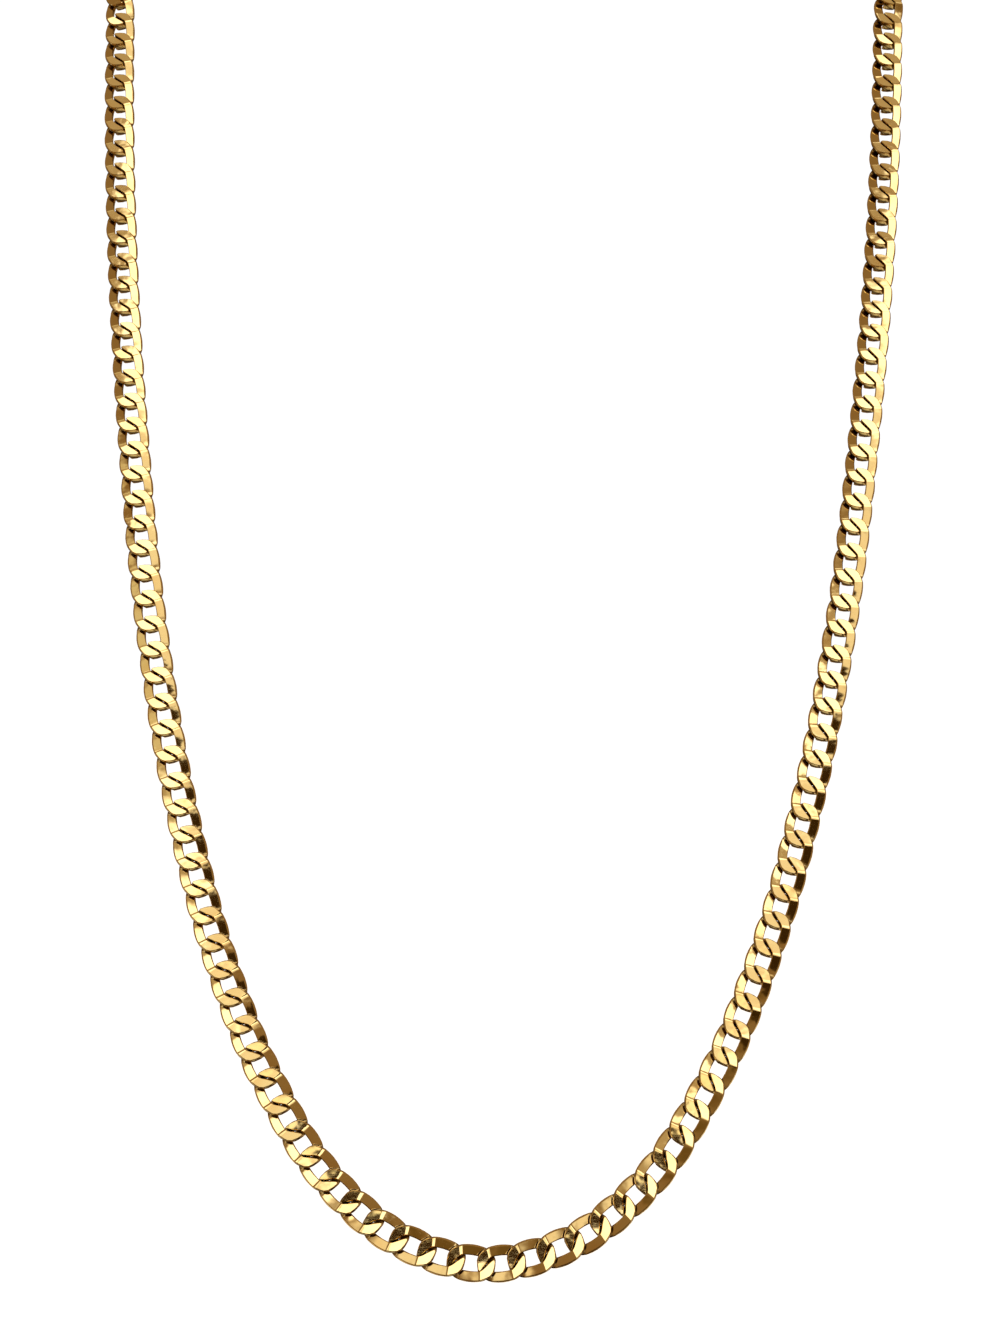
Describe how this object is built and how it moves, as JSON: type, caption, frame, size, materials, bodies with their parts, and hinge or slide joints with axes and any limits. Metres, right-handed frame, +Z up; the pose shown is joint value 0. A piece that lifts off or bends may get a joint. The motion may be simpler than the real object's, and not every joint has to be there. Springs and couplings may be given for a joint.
{
  "type": "curb chain necklace",
  "caption": "Gold curb chain necklace of twisted, flat-cut links in one closed loop, shown as worn, with a plain barrel clasp between two rings at the nape.",
  "frame": {"origin": "the point at the nape where the clasp rests against the back of the neck", "axes": "+Z up as worn, +Y towards the wearer's back, +X across, to the right of a viewer who faces the wearer"},
  "size_m": [0.1236, 0.1112, 0.2159],
  "materials": {
    "chain_gold": "polished yellow gold, flat faces cut bright",
    "fastening_gold": "polished yellow gold, softly scratched"
  },
  "bodies": {
    "root": {"chain_left": "chain_gold", "chain_right": "chain_gold", "ring_left": "fastening_gold", "ring_right": "fastening_gold", "clasp": "fastening_gold"}
  },
  "joints": []
}
